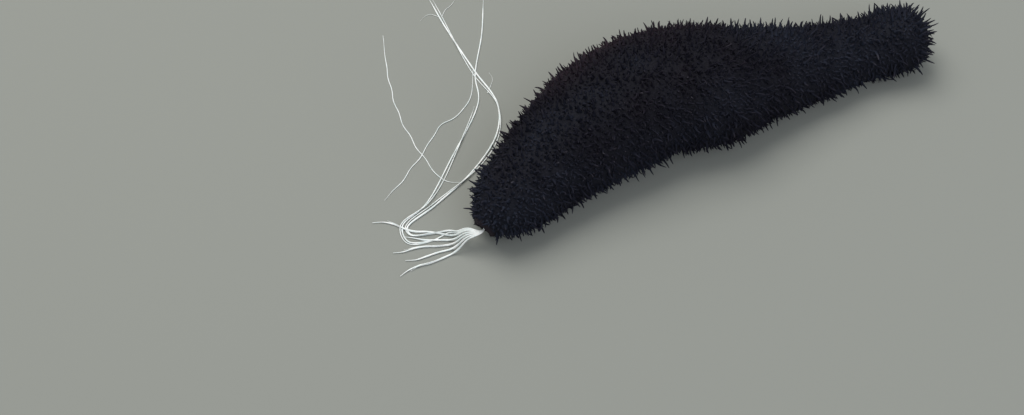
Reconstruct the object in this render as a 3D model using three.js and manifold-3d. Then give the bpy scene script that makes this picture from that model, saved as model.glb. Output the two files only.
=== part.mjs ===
// A life-size black sea cucumber at rest on a level floor, in millimetres, +Z up.
// +X runs from the vent at the tail end to the mouth at the head end. The floor is z = 0, and the origin is
// the flat disc of the tube foot under the middle of the belly. The soft body lies in a shallow S: a blunt
// tail, a heavy belly with a flattened sole, a slim neck and a rounded head. Pointed papillae cover its back
// and flanks, tube feet carry its sole, and a sheaf of white sticky threads comes out of the vent.
import * as THREE from 'three';
import { mergeVertices } from 'three/addons/utils/BufferGeometryUtils.js';
import Module from 'manifold-3d';

const wasm = await Module();
wasm.setup();

// Driving dimensions of the body: stations from the vent to the mouth, at equal steps of the curve. x and y
// place the middle line, halfWidth is across it, back is the height of the back above the floor, and lift
// raises the ends.
const STATIONS = [
  { x: -142.5, y: -19.5, halfWidth: 20.5, back: 33, lift: 1 },
  { x: -112, y: -6.5, halfWidth: 23, back: 36, lift: 0 },
  { x: -82, y: 4, halfWidth: 29.5, back: 43, lift: 0 },
  { x: -52, y: 11, halfWidth: 35, back: 49, lift: 0 },
  { x: -22, y: 12.5, halfWidth: 35.5, back: 50, lift: 0 },
  { x: 8, y: 5, halfWidth: 34.5, back: 48, lift: 0 },
  { x: 38, y: 1, halfWidth: 28, back: 40, lift: 0 },
  { x: 70, y: -4, halfWidth: 21.5, back: 32, lift: 0 },
  { x: 102, y: -8, halfWidth: 18, back: 28, lift: 0.5 },
  { x: 136.5, y: -15.5, halfWidth: 19, back: 31, lift: 2.5 },
];
const TAIL_ROUNDING = 0.13; // shares of the body's length over which each end rounds off
const HEAD_ROUNDING = 0.05;
const WAIST = { along: 0.645, reach: 0.022, depth: 0.05 }; // the pinched ring in front of the belly
const WIDEST = 0.42; // height of the widest level, as a share of the back's height over the sole
const SOLE = 1.5; // the sole's height over the floor, which is a tube foot's length
const SAG = 3; // how much of each section the sole flattens
const UNDER_POWER = 0.75; // below 1 fills out the underside

// The grid of the skin, and the gap that parts one length of the body from the next.
const RINGS = 42;
const SIDES = 26;
const GAP = 0.3;

// The lengths of the body in order. Each ends at a share of the way over the skin from the vent to the mouth.
const LENGTHS = [
  { name: 'vent', to: 0.062 },
  { name: 'tail_end', to: 0.2 },
  { name: 'hind_body', to: 0.37 },
  { name: 'mid_body', to: 0.53 },
  { name: 'fore_body', to: 0.69 },
  { name: 'neck', to: 0.84 },
  { name: 'head_end', to: 0.952 },
  { name: 'mouth', to: 1 },
];

// The openings at the two ends: a tapered hole with a puckered edge, inside a soft raised rim. Each is
// centred on the underside's middle line at a share of the way, so the mouth faces a little down.
const OPENINGS = {
  vent: {
    share: 0.008,
    radius: 4.1,
    floorRadius: 2.9,
    depth: 9,
    folds: 5,
    rimRadius: 5.6,
    rimThickness: 1.5,
  },
  mouth: {
    share: 0.982,
    radius: 3,
    floorRadius: 1.2,
    depth: 6,
    folds: 10,
    rimRadius: 4.6,
    rimThickness: 1.4,
  },
};
const PUCKER = 0.16; // how far each fold of the edge goes in and out, as a share of the hole's radius
const RIM_SUNK = 0.9; // how deep the middle of a rim lies under the skin at its centre
const OPENING_SIDES = 20;

// Papillae stand in staggered rings from one edge of the sole over the back to the other.
const PAPILLA = { spacing: 6.8, width: 2.3, shortest: 4.2, longest: 6.2, sides: 3, sunk: 1.6 };
const PAPILLA_ARC = [-52, 232]; // degrees round the section, 0 at the left flank
const PAPILLA_LEAN = 15; // most degrees off the skin's normal
const PAPILLA_JITTER = 0.22; // share of the spacing by which each is moved
const PAPILLA_SHARES = [0.022, 0.975]; // the bare rims of the vent and the mouth lie outside these
const PAPILLA_CLEAR = { root: 1.8, tip: 1 }; // least distance from a cut
const HEAD_GROWTH = 0.25; // how much longer they are round the head

// Tube feet stand in rows under the sole, each flaring to its flat disc on the floor.
const FOOT = { along: 10.2, across: 8.2, discRadius: 1.4, stalkRadius: 0.85, sunk: 1.2, sides: 5 };
const FOOT_MARGIN = 0.4; // least distance of a disc from the edge of the sole
const FOOT_DRIFT = 1.6; // how far a foot may lie off its row

// Sticky threads leave the vent in one sheaf. Most fan out over the floor, each to its own reach, and two
// longer ones turn back past the left flank. The fan is turned from the way out of the vent to that flank.
const THREAD = { diameter: 1.5, sides: 4, step: 6, clear: 0.25 };
const FAN = { turn: -42, width: 36, reaches: [62, 48, 55, 47, 53] };
const THREAD_DROP = 19; // how far out of the vent they reach the floor
const THREAD_WAVE = { height: 2.4, length: 30, from: 26, shift: 2.3 };
const TRAILS = [
  [
    [-165, -3], [-175, 1], [-175, 6], [-156, 12], [-128, 23],
    [-106, 39], [-97, 57], [-99, 83], [-101, 118], [-101, 142],
  ],
  [
    [-166, -7], [-178, -2], [-177, 8], [-160, 15], [-136, 35],
    [-106, 63], [-100, 80], [-84, 105], [-72, 128],
  ],
];
const SHEAF = { rootRadius: 2.55, endRadius: 1.8, out: 1.5 };

const SHADES = {
  skin: { color: 0x1d1a20, roughness: 0.8, metalness: 0 },
  rim: { color: 0x2a2428, roughness: 0.75, metalness: 0 },
  thread: { color: 0xe6ecec, roughness: 0.5, metalness: 0 },
};

// A repeatable stream of numbers from 0 to 1.
function seededRandom(seed) {
  let state = seed;
  return () => {
    state = (state * 1664525 + 1013904223) % 4294967296;
    return state / 4294967296;
  };
}

// The middle line and the section sizes as smooth curves through the stations.
function curveThrough(pick) {
  return new THREE.CatmullRomCurve3(STATIONS.map(pick), false, 'catmullrom', 0.5);
}
const middleLine = curveThrough((s) => new THREE.Vector3(s.x, s.y, 0));
const sectionSizes = curveThrough((s) => new THREE.Vector3(s.halfWidth, s.back, s.lift));

// How far a section has closed towards an end: 0 at the tip, 1 along the body.
function fullness(t) {
  const fromEnd = Math.min(t / TAIL_ROUNDING, (1 - t) / HEAD_ROUNDING, 1);
  const pinch = WAIST.depth * Math.exp(-(((t - WAIST.along) / WAIST.reach) ** 2));
  return Math.sqrt(Math.max(0, 1 - (1 - fromEnd) ** 2)) * (1 - pinch);
}

// The level unit vectors along and across the body at t.
function headings(t) {
  const step = 1e-4;
  const ahead = middleLine.getPoint(Math.min(1, t + step));
  const along = ahead.sub(middleLine.getPoint(Math.max(0, t - step))).normalize();
  return { along, across: new THREE.Vector3(-along.y, along.x, 0) };
}

// A point of the skin: t runs from the vent (0) to the mouth (1), and angle round the section from +across.
function skinPoint(t, angle) {
  const { across } = headings(t);
  const { x: halfWidth, y: back, z: lift } = sectionSizes.getPoint(t);
  const middle = SOLE + WIDEST * (back - SOLE) + lift;
  const up = back + lift - middle;
  const down = middle - lift - SOLE + SAG;
  const full = fullness(t);
  const sine = Math.sin(angle);
  const rise = sine > 0 ? up * sine : -down * Math.abs(sine) ** UNDER_POWER;
  const point = middleLine.getPoint(t).addScaledVector(across, halfWidth * Math.cos(angle) * full);
  point.z = Math.max(middle + rise * full, SOLE);
  return point;
}

function skinNormal(t, angle) {
  const step = 1e-3;
  const low = Math.max(0, t - step);
  const high = Math.min(1, t + step);
  const lengthwise = skinPoint(high, angle).sub(skinPoint(low, angle));
  const roundabout = skinPoint(t, angle + step).sub(skinPoint(t, angle - step));
  return lengthwise.cross(roundabout).negate().normalize();
}

// Distances over the skin from the vent's tip, as the mean of the way over the back and along one flank.
const WAY_STEPS = 400;
const way = [0];
for (let i = 1; i <= WAY_STEPS; i++) {
  const stride = (angle) => skinPoint(i / WAY_STEPS, angle).distanceTo(skinPoint((i - 1) / WAY_STEPS, angle));
  way.push(way[i - 1] + (stride(Math.PI / 2) + stride(0)) / 2);
}
const WAY_LENGTH = way[WAY_STEPS];

// The t at a share of the way over the skin.
function alongWay(share) {
  const target = THREE.MathUtils.clamp(share, 0, 1) * WAY_LENGTH;
  let i = 1;
  while (i < WAY_STEPS && way[i] < target) i++;
  return (i - 1 + (target - way[i - 1]) / (way[i] - way[i - 1])) / WAY_STEPS;
}

// Closed three.js geometry to a solid, and back.
function solidOf(geometry) {
  const bare = geometry.clone();
  bare.deleteAttribute('normal');
  bare.deleteAttribute('uv');
  const merged = mergeVertices(bare, 1e-4);
  return new wasm.Manifold(
    new wasm.Mesh({
      numProp: 3,
      vertProperties: merged.attributes.position.array,
      triVerts: new Uint32Array(merged.index.array),
    }),
  );
}

function geometryOf(solid) {
  const mesh = solid.getMesh();
  const geometry = new THREE.BufferGeometry();
  geometry.setAttribute('position', new THREE.BufferAttribute(mesh.vertProperties, 3));
  geometry.setIndex(new THREE.BufferAttribute(mesh.triVerts, 1));
  geometry.computeVertexNormals();
  return geometry;
}

function largestPiece(solid) {
  const pieces = solid.decompose();
  return pieces.reduce((best, piece) => (piece.volume() > best.volume() ? piece : best));
}

function joined(pieces) {
  return largestPiece(pieces.reduce((sum, piece) => sum.add(piece)));
}

// The whole body: a sphere whose parallels are laid out as the rings of the skin.
function wholeBody() {
  const geometry = new THREE.SphereGeometry(1, SIDES, RINGS);
  const { position, uv } = geometry.attributes;
  for (let i = 0; i < position.count; i++) {
    const point = skinPoint(alongWay(uv.getY(i)), 2 * Math.PI * uv.getX(i));
    position.setXYZ(i, point.x, point.y, point.z);
  }
  return solidOf(geometry);
}

// A closed geometry that stands along +Y, turned to a direction and set at a point.
function standing(geometry, direction, point) {
  geometry.applyQuaternion(new THREE.Quaternion().setFromUnitVectors(new THREE.Vector3(0, 1, 0), direction));
  geometry.translate(point.x, point.y, point.z);
  return solidOf(geometry);
}

// The centre of an opening on the skin, and the way out of it.
function centreOf({ share }) {
  const t = alongWay(share);
  return { centre: skinPoint(t, -Math.PI / 2), outward: skinNormal(t, -Math.PI / 2) };
}

// The body with an opening's rim added and its tapered, puckered hole cut out.
function opened(solid, opening) {
  const { radius, floorRadius, depth, folds, rimRadius, rimThickness } = opening;
  const { centre, outward } = centreOf(opening);
  const rim = new THREE.TorusGeometry(rimRadius, rimThickness, 6, OPENING_SIDES);
  rim.rotateX(Math.PI / 2);
  rim.translate(0, -RIM_SUNK, 0);
  const clear = 6; // the cutter starts this far outside the skin
  const flare = radius + ((radius - floorRadius) * clear) / depth;
  const hole = new THREE.CylinderGeometry(flare, floorRadius, depth + clear, OPENING_SIDES);
  hole.translate(0, (clear - depth) / 2, 0);
  const { position } = hole.attributes;
  for (let i = 0; i < position.count; i++) {
    const wave = 1 + PUCKER * Math.cos(folds * Math.atan2(position.getZ(i), position.getX(i)));
    position.setX(i, position.getX(i) * wave);
    position.setZ(i, position.getZ(i) * wave);
  }
  return solid.add(standing(rim, outward, centre)).subtract(standing(hole, outward, centre));
}

// The upright cut across the body at a share of the way, which keeps what lies ahead (side 1) or behind (-1).
function cutAt(share, side) {
  const t = alongWay(share);
  const normal = headings(t).along.multiplyScalar(side);
  return { normal, offset: normal.dot(middleLine.getPoint(t)) + GAP / 2 };
}

function trimmed(solid, cuts) {
  return cuts.reduce((left, { normal, offset }) => left.trimByPlane(normal.toArray(), offset), solid);
}

// Moves a point along the body until it is a distance clear of each cut.
function keepClear(point, cuts, distance) {
  for (const { normal, offset } of cuts) {
    const short = distance - (normal.dot(point) - offset);
    if (short > 0) point.addScaledVector(normal, short);
  }
}

// Angles round a section that part its arc into equal steps over the skin, shifted by a share of a step.
function anglesRound(t, spacing, shift) {
  const [first, last] = PAPILLA_ARC.map(THREE.MathUtils.degToRad);
  const samples = 120;
  const lengths = [0];
  const angleAt = (i) => first + ((last - first) * i) / samples;
  for (let i = 1; i <= samples; i++) {
    lengths.push(lengths[i - 1] + skinPoint(t, angleAt(i)).distanceTo(skinPoint(t, angleAt(i - 1))));
  }
  const whole = lengths[samples];
  const count = Math.max(4, Math.round(whole / spacing));
  return Array.from({ length: count }, (_, k) => {
    const target = ((k + shift) * whole) / count;
    const i = Math.max(1, lengths.findIndex((length) => length >= target));
    return angleAt(i - 1 + (target - lengths[i - 1]) / (lengths[i] - lengths[i - 1]));
  });
}

// The papillae rooted between two shares of the way, each a cone of few sides on the skin's normal, leaning a
// little and kept clear of the cuts.
function papillae(from, to, cuts, random) {
  const made = [];
  const rings = Math.max(1, Math.round(((to - from) * WAY_LENGTH) / PAPILLA.spacing));
  const step = (to - from) / rings;
  for (let ring = 0; ring < rings; ring++) {
    const ringShare = from + (ring + 0.5) * step;
    const shift = ring % 2 ? 0.75 : 0.25;
    for (const ringAngle of anglesRound(alongWay(ringShare), PAPILLA.spacing, shift)) {
      const jitter = () => (random() - 0.5) * 2 * PAPILLA_JITTER;
      const share = ringShare + jitter() * step;
      const t = alongWay(share);
      const girth = Math.max(8, sectionSizes.getPoint(t).x * fullness(t));
      const angle = ringAngle + (jitter() * PAPILLA.spacing) / girth;
      const size = PAPILLA.shortest + random() * (PAPILLA.longest - PAPILLA.shortest);
      const growth = 1 + HEAD_GROWTH * THREE.MathUtils.smoothstep(share, 0.8, 0.97);
      const lean = THREE.MathUtils.degToRad(PAPILLA_LEAN) * random();
      const turn = 2 * Math.PI * random();
      const root = skinPoint(t, angle);
      const normal = skinNormal(t, angle);
      const sideways = new THREE.Vector3(0, 0, 1).cross(normal).normalize().applyAxisAngle(normal, turn);
      const direction = normal.clone().applyAxisAngle(sideways, lean);
      const tip = root.clone().addScaledVector(direction, size * growth);
      keepClear(root, cuts, PAPILLA_CLEAR.root);
      keepClear(tip, cuts, PAPILLA_CLEAR.tip);
      const bare = share < PAPILLA_SHARES[0] || share > PAPILLA_SHARES[1];
      if (bare || tip.z < SOLE || root.z < 2 * SOLE) continue;
      const length = tip.distanceTo(root);
      const height = length + PAPILLA.sunk;
      const radius = ((PAPILLA.width / 2) * height) / length;
      const cone = new THREE.ConeGeometry(radius, height, PAPILLA.sides);
      cone.rotateY(turn);
      cone.translate(0, height / 2 - PAPILLA.sunk, 0);
      made.push(standing(cone, tip.sub(root).normalize(), root));
    }
  }
  return made;
}

// Half the width of the flat sole at t.
function soleReach(t) {
  const samples = 40;
  for (let i = samples; i > 0; i--) {
    const angle = (-Math.PI / 2) * (i / samples);
    if (skinPoint(t, angle).z > SOLE) return sectionSizes.getPoint(t).x * fullness(t) * Math.cos(angle);
  }
  return 0;
}

function tubeFoot(x, y) {
  const height = SOLE + FOOT.sunk;
  const foot = new THREE.CylinderGeometry(FOOT.stalkRadius, FOOT.discRadius, height, FOOT.sides);
  return standing(foot, new THREE.Vector3(0, 0, 1), new THREE.Vector3(x, y, height / 2));
}

// The tube feet between two shares of the way, in rows under the flat of the sole, and the one at the origin.
function tubeFeet(from, to, random) {
  const made = [];
  const rows = Math.max(1, Math.round(((to - from) * WAY_LENGTH) / FOOT.along));
  for (let row = 0; row < rows; row++) {
    const t = alongWay(from + ((row + 0.5) * (to - from)) / rows);
    const reach = soleReach(t) - FOOT.discRadius - FOOT_MARGIN;
    if (reach < FOOT.discRadius) continue;
    const { across, along } = headings(t);
    const middle = middleLine.getPoint(t);
    const steps = Math.max(1, Math.round((2 * reach) / FOOT.across));
    for (let i = 0; i <= steps; i++) {
      const offset = reach * ((2 * i) / steps - 1);
      const drift = (random() - 0.5) * FOOT_DRIFT;
      const place = middle.clone().addScaledVector(across, offset).addScaledVector(along, drift);
      if (place.length() > FOOT.across * 0.75) made.push(tubeFoot(place.x, place.y));
    }
  }
  const originShare = middleLine.getPoint(alongWay(from)).x < 0 && middleLine.getPoint(alongWay(to)).x > 0;
  if (originShare) made.push(tubeFoot(0, 0));
  return made;
}

// The sheaf of threads: a short root in the vent, from which each thread runs down to the floor and away.
function threadSheaf() {
  const { centre, outward } = centreOf(OPENINGS.vent);
  const rootLength = OPENINGS.vent.depth - GAP + SHEAF.out;
  const root = new THREE.CylinderGeometry(SHEAF.endRadius, SHEAF.rootRadius, rootLength, 10);
  root.translate(0, rootLength / 2 - OPENINGS.vent.depth + GAP, 0);
  const pieces = [standing(root, outward, centre)];
  const rest = THREAD.diameter / 2 + THREAD.clear;
  const section = new THREE.Shape(
    Array.from({ length: THREAD.sides }, (_, i) => {
      const angle = (2 * Math.PI * i) / THREAD.sides;
      return new THREE.Vector2(Math.cos(angle), Math.sin(angle)).multiplyScalar(THREAD.diameter / 2);
    }),
  );
  const threadAlong = (points) => {
    const path = new THREE.CatmullRomCurve3(points);
    const steps = Math.round(path.getLength() / THREAD.step);
    return solidOf(new THREE.ExtrudeGeometry(section, { steps, extrudePath: path, bevelEnabled: false }));
  };
  // The way out of the vent and down to the floor, in a heading turned by some degrees.
  const drop = (degrees) => {
    const turn = THREE.MathUtils.degToRad(degrees);
    const heading = outward.clone().setZ(0).normalize().applyAxisAngle(new THREE.Vector3(0, 0, 1), turn);
    const sideways = new THREE.Vector3(-heading.y, heading.x, 0);
    const at = (out, aside, height) =>
      centre.clone().addScaledVector(heading, out).addScaledVector(sideways, aside).setZ(height);
    const spread = (degrees - FAN.turn) / FAN.width;
    const inSheaf = (out, aside) =>
      centre.clone().addScaledVector(outward, out).addScaledVector(sideways, aside * spread);
    const points = [
      inSheaf(-2, 1),
      inSheaf(SHEAF.out, 1.6),
      at(THREAD_DROP * 0.45, 0, centre.z * 0.72),
      at(THREAD_DROP * 0.78, 0, centre.z * 0.22),
      at(THREAD_DROP, 0, rest),
    ];
    return { at, points };
  };
  FAN.reaches.forEach((reach, i) => {
    const { at, points } = drop(FAN.turn + FAN.width * (i / (FAN.reaches.length - 1) - 0.5));
    for (let out = THREAD_DROP + THREAD.step; out < reach; out += THREAD.step) {
      const grown = THREE.MathUtils.smoothstep(out, THREAD_DROP, THREAD_WAVE.from + THREAD_DROP);
      const wave = Math.sin((2 * Math.PI * out) / THREAD_WAVE.length + THREAD_WAVE.shift * i);
      points.push(at(out, THREAD_WAVE.height * grown * wave, rest));
    }
    pieces.push(threadAlong(points));
  });
  TRAILS.forEach((route, i) => {
    const { points } = drop(FAN.turn - FAN.width * (0.75 - 0.12 * i));
    pieces.push(threadAlong([...points, ...route.map(([x, y]) => new THREE.Vector3(x, y, rest))]));
  });
  return joined(pieces);
}

const group = new THREE.Group();

function addNode(name, solid, shade) {
  const mesh = new THREE.Mesh(geometryOf(solid), new THREE.MeshStandardMaterial(shade));
  mesh.name = name;
  group.add(mesh);
}

const body = opened(opened(wholeBody(), OPENINGS.vent), OPENINGS.mouth);
const random = seededRandom(41);
LENGTHS.forEach(({ name, to }, i) => {
  const from = i ? LENGTHS[i - 1].to : 0;
  const cuts = [];
  if (from > 0) cuts.push(cutAt(from, 1));
  if (to < 1) cuts.push(cutAt(to, -1));
  const slab = largestPiece(trimmed(body, cuts));
  const solid = joined([slab, ...papillae(from, to, cuts, random), ...tubeFeet(from, to, random)]);
  addNode(name, solid, from === 0 || to === 1 ? SHADES.rim : SHADES.skin);
});
addNode('sticky_threads', threadSheaf(), SHADES.thread);

export default group;
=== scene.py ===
import math
import bpy
import numpy as np
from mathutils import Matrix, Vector, noise


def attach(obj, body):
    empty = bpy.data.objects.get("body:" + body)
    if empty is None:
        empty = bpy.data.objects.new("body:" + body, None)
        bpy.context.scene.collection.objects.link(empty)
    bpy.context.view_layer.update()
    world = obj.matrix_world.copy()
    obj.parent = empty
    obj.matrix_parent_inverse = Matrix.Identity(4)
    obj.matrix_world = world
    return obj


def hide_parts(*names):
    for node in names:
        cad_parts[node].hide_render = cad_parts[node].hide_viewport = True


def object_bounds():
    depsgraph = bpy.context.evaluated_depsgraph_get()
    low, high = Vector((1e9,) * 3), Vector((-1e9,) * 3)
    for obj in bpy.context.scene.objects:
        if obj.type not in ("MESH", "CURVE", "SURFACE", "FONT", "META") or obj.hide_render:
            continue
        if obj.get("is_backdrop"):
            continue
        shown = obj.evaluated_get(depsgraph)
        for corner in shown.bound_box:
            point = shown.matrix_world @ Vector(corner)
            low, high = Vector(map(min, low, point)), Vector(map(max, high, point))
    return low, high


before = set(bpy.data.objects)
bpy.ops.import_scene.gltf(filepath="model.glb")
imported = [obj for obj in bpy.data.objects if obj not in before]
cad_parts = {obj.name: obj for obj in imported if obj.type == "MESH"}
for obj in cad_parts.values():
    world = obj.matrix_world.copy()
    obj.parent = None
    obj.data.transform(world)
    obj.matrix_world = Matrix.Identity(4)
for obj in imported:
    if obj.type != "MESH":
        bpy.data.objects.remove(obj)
cad_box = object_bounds()


# The skin
# The body wall: one soft, leathery sleeve from vent to mouth, near black, creased across and flat-soled.
# It is one closed sheet, swept through the same stations as the solids, with both openings drawn in.
MM = 0.001  # lengths are in millimetres until this turns them to metres
STATIONS = np.array([  # x, y, half width, height of the back, lift
    (-142.5, -19.5, 20.5, 33, 1),
    (-112, -6.5, 23, 36, 0),
    (-82, 4, 29.5, 43, 0),
    (-52, 11, 35, 49, 0),
    (-22, 12.5, 35.5, 50, 0),
    (8, 5, 34.5, 48, 0),
    (38, 1, 28, 40, 0),
    (70, -4, 21.5, 32, 0),
    (102, -8, 18, 28, 0.5),
    (136.5, -15.5, 19, 31, 2.5),
])
TAIL_ROUNDING, HEAD_ROUNDING = 0.13, 0.05  # shares of the length over which the ends close
WAIST_ALONG, WAIST_REACH, WAIST_DEPTH = 0.645, 0.022, 0.05  # a slight pinch on the way to the neck
WIDEST = 0.42  # share of the height where the body is widest
SOLE = 1.5  # height of the flat sole above the floor
SAG = 3  # how far the underside would hang below the sole if the sole weren't flat
UNDER_POWER = 0.75  # the underside is boxier than an ellipse, which has 1
UNDERNEATH = -math.pi / 2  # the sole's middle, as an angle from the left flank


def blend(start, end, leaving, arriving, w):
    """The cubic from start to end with the given slopes, at w from 0 to 1."""
    return (start + w * leaving + w ** 2 * (3 * (end - start) - 2 * leaving - arriving)
            + w ** 3 * (2 * (start - end) + leaving + arriving))


def through_stations(t):
    """Stations blended by a uniform Catmull-Rom curve, one row for each t from 0 to 1."""
    last = len(STATIONS) - 1
    place = np.clip(t, 0, 1) * last
    i = np.minimum(place.astype(int), last - 1)
    w = (place - i)[:, None]
    rows = np.vstack([2 * STATIONS[0] - STATIONS[1], STATIONS, 2 * STATIONS[-1] - STATIONS[-2]])
    before, start, end, after = rows[i], rows[i + 1], rows[i + 2], rows[i + 3]
    return blend(start, end, (end - before) / 2, (after - start) / 2, w)


def headings(t):
    """Level unit vectors along and across the body."""
    step = 1e-4
    along = (through_stations(t + step) - through_stations(t - step))[:, :2]
    along /= np.linalg.norm(along, axis=1)[:, None]
    flat = np.zeros(len(t))
    return np.stack([along[:, 0], along[:, 1], flat], 1), np.stack([-along[:, 1], along[:, 0], flat], 1)


def skin_point(t, angle):
    """Points of the skin without its relief, with the angle taken round the section from the left flank."""
    _, across = headings(t)
    x, y, half_width, back, lift = through_stations(t).T
    middle = SOLE + WIDEST * (back - SOLE) + lift
    up, down = back + lift - middle, middle - lift - SOLE + SAG
    from_end = np.minimum(np.minimum(t / TAIL_ROUNDING, (1 - t) / HEAD_ROUNDING), 1)
    full = np.sqrt(np.maximum(0, 1 - (1 - from_end) ** 2))
    full *= 1 - WAIST_DEPTH * np.exp(-((t - WAIST_ALONG) / WAIST_REACH) ** 2)
    sine = np.sin(angle)
    rise = np.where(sine > 0, up * sine, -down * np.abs(sine) ** UNDER_POWER)
    point = np.stack([x, y, middle], 1) + across * (half_width * np.cos(angle) * full)[:, None]
    point[:, 2] = np.maximum(middle + rise * full, SOLE)
    return point


def skin_normal(t, angle):
    """Unit vectors straight out of the plain skin."""
    step = 1e-3
    low, high = np.maximum(0, t - step), np.minimum(1, t + step)
    lengthwise = skin_point(high, angle) - skin_point(low, angle)
    roundabout = skin_point(t, angle + step) - skin_point(t, angle - step)
    normal = -np.cross(lengthwise, roundabout)
    return normal / np.maximum(np.linalg.norm(normal, axis=1), 1e-9)[:, None]


# The way over the skin from the vent's end is the mean of the lines over the back and along one flank.
way_t = np.linspace(0, 1, 401)
strides = 0
for side_of_body in (math.pi / 2, 0):
    line = skin_point(way_t, np.full_like(way_t, side_of_body))
    strides += np.linalg.norm(np.diff(line, axis=0), axis=1) / 2
way = np.concatenate([[0], np.cumsum(strides)])
WAY_LENGTH = way[-1]


def along_way(share):
    """The t of the places at the given shares of the way."""
    return np.interp(np.clip(share, 0, 1) * WAY_LENGTH, way, way_t)


# Each opening is puckered into folds inside a soft rim: share of the way, radius, depth, folds, rim's radius.
OPENINGS = {"vent": (0.008, 4.1, 8.7, 5, 5.6), "mouth": (0.982, 2.9, 6, 10, 4.6)}
PUCKER = 0.16  # how far the folds narrow and widen the hole, in its own radius
THROAT, LIP = 0.72, 0.5  # the wall is sunk within this share of the radius, from this far outside it
RIM_HEIGHT, RIM_REACH, RIM_FOLDS = 1.1, 1.9, 0.35
BARE_FROM, BARE_TO = 0.8, 2  # distances beyond the rim's radius over which the papillae set in


def centre_of(opening):
    """The middle of an opening on the plain skin, and the way straight out of it."""
    t = along_way(np.array([OPENINGS[opening][0]]))
    angle = np.array([UNDERNEATH])
    return skin_point(t, angle)[0], skin_normal(t, angle)[0]


def smooth(low, high, value):
    """0 below low, 1 above high, and an even S between them."""
    w = np.clip((value - low) / (high - low), 0, 1)
    return w * w * (3 - 2 * w)


def noise_at(points, size, seed):
    """Smooth noise from -1 to 1 whose blobs are about size millimetres across."""
    shift = Vector((seed * 7.3, seed * 3.1, seed * 5.7))
    return np.array([noise.noise(Vector(p) / size + shift) for p in points])


def layered(points, layers):
    """Layers of noise added together, each given by its strength, size and seed."""
    return sum(strength * noise_at(points, size, seed) for strength, size, seed in layers)


RINGS, SIDES = 440, 200
END_CROWDING = 0.35  # how much closer the rings lie at the two ends
FREE_FROM, FREE_TO = 0.2, 8  # heights above the sole over which the wall comes free of the floor
CREASE_STEP, CREASE_DEPTH, CREASE_WIDTH = 3.4, 0.38, 0.3
CREASE_WANDER = ((0.9, 14, 1), (0.35, 5, 2))
FAINTEST_CREASE, SOLE_CREASE = 0.35, 0.3  # shares of the depth, where creases fade and on the sole
SWELLS = ((0.55, 17, 4), (0.22, 4, 5))  # how far the soft wall bulges and sinks
SOLE_GIVE = 0.3  # how far a crease may go into the sole

ring_share = np.linspace(0, 1, RINGS + 1)[1:-1]
ring_share = ring_share - END_CROWDING * np.sin(2 * math.pi * ring_share) / (2 * math.pi)
side_angle = UNDERNEATH + 2 * math.pi * np.arange(SIDES) / SIDES
share_grid, angle_grid = (g.ravel() for g in np.meshgrid(ring_share, side_angle, indexing="ij"))
t_grid = along_way(share_grid)
plain = skin_point(t_grid, angle_grid)
normal = skin_normal(t_grid, angle_grid)

free = smooth(SOLE + FREE_FROM, SOLE + FREE_TO, plain[:, 2])  # 0 on the sole, 1 where the wall hangs free
wave = np.sin(math.pi * (share_grid * WAY_LENGTH / CREASE_STEP + layered(plain, CREASE_WANDER)))
fading = np.clip(0.5 + noise_at(plain, size=18, seed=3), 0, 1)
crease = np.exp(-(wave / CREASE_WIDTH) ** 2) * (FAINTEST_CREASE + (1 - FAINTEST_CREASE) * fading)
relief = free * layered(plain, SWELLS)
relief -= (SOLE_CREASE + (1 - SOLE_CREASE) * free) * CREASE_DEPTH * crease
wall = plain + normal * relief[:, None]
bare = np.zeros(len(wall))  # 1 where no papilla grows
for opening, (_, radius, depth, folds, rim_radius) in OPENINGS.items():
    centre, outward = centre_of(opening)
    offset = plain - centre
    axial = offset @ outward
    sideways = offset - axial[:, None] * outward
    distance = np.linalg.norm(sideways, axis=1)
    first = np.cross(outward, (0, 0, 1))
    second = np.cross(outward, first)
    round_hole = np.arctan2(sideways @ second, sideways @ first)
    folded = np.cos(folds * round_hole)
    hole = radius * (1 + PUCKER * folded)
    near = np.abs(axial) < 2 * rim_radius
    sunk = depth * (1 - smooth(THROAT * hole, hole + LIP, distance))
    swollen = np.exp(-((distance - rim_radius) / RIM_REACH) ** 2)
    rim = RIM_HEIGHT * swollen * (1 + RIM_FOLDS * folded)
    wall += outward * (near * (rim - sunk))[:, None]
    bare = np.maximum(bare, near * (1 - smooth(rim_radius + BARE_FROM, rim_radius + BARE_TO, distance)))
wall[:, 2] = np.maximum(wall[:, 2], SOLE - SOLE_GIVE)


def pole(share, opening):
    """The grid's end point, at the bottom of the opening beside it."""
    point = skin_point(np.array([share]), np.array([0.0]))[0]
    _, radius, depth, _, _ = OPENINGS[opening]
    centre, outward = centre_of(opening)
    distance = np.linalg.norm(np.cross(point - centre, outward))
    return point - outward * depth * (1 - smooth(THROAT * radius, radius + LIP, distance))


ring_count = len(ring_share)
tail_pole, head_pole = ring_count * SIDES, ring_count * SIDES + 1
vertices = np.vstack([wall, pole(0.0, "vent"), pole(1.0, "mouth")]) * MM
faces, face_shares, face_turns = [], [], []
share_ends = np.concatenate([[0], ring_share, [1]])
for ring in range(-1, ring_count):
    for side in range(SIDES):
        beyond = (side + 1) % SIDES
        a, b = ring * SIDES + side, ring * SIDES + beyond
        c, d = (ring + 1) * SIDES + beyond, (ring + 1) * SIDES + side
        low, high = share_ends[ring + 1], share_ends[ring + 2]
        turn, next_turn = side / SIDES, (side + 1) / SIDES
        if ring < 0:
            faces.append((tail_pole, c, d))
            face_shares += [low, high, high]
            face_turns += [(turn + next_turn) / 2, next_turn, turn]
        elif ring == ring_count - 1:
            faces.append((a, b, head_pole))
            face_shares += [low, low, high]
            face_turns += [turn, next_turn, (turn + next_turn) / 2]
        else:
            faces.append((a, b, c, d))
            face_shares += [low, low, high, high]
            face_turns += [turn, next_turn, next_turn, turn]


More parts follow.
